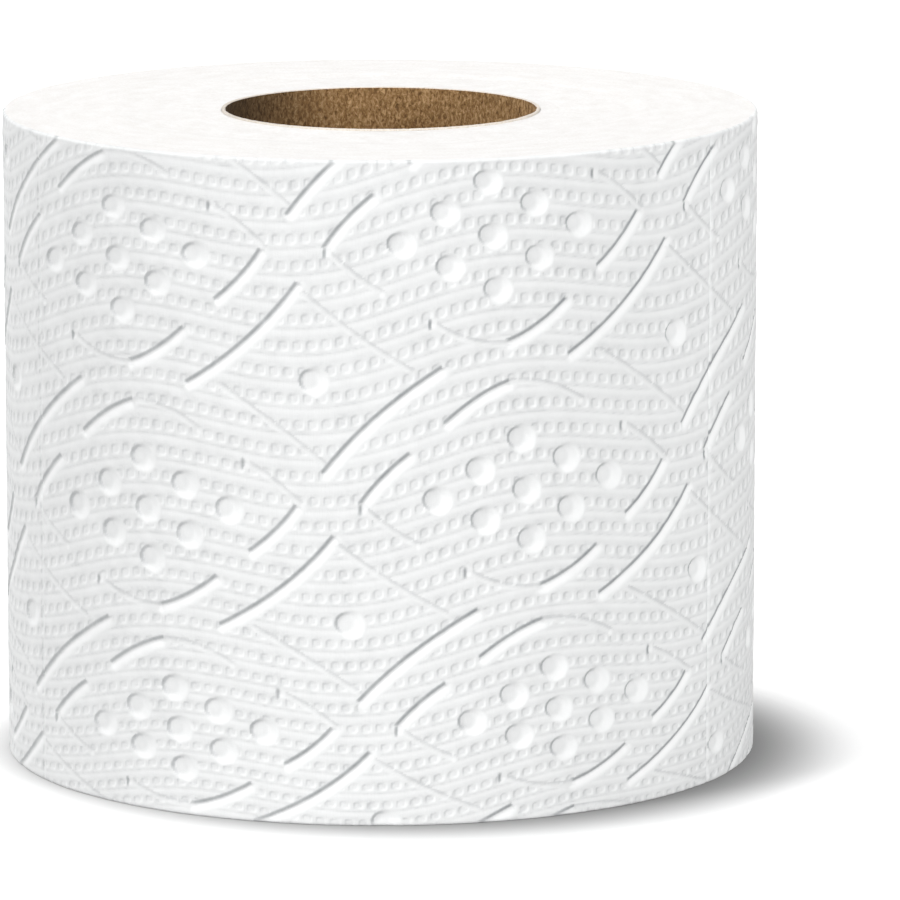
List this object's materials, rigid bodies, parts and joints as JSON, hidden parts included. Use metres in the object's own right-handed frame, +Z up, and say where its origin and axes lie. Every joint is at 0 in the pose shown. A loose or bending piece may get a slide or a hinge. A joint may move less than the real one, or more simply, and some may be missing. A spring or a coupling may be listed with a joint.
{
  "type": "toilet paper roll",
  "caption": "Roll of quilted two-ply toilet tissue wound on a brown cardboard core, standing on its end; the core's bore goes over a holder's spindle.",
  "frame": {"origin": "middle of the bottom end, on the core's axis", "axes": "+Z up along the roll's axis; -Y is the front, which the picture shows; the free end of the web lies at the back, at +Y"},
  "size_m": [0.1138, 0.114, 0.098],
  "materials": {
    "tissue": "soft matt white creped tissue, embossed",
    "core_board": "matt brown grey-flecked recycled board"
  },
  "bodies": {
    "root": {"paper_roll": "tissue", "core_tube": "core_board"}
  },
  "joints": []
}
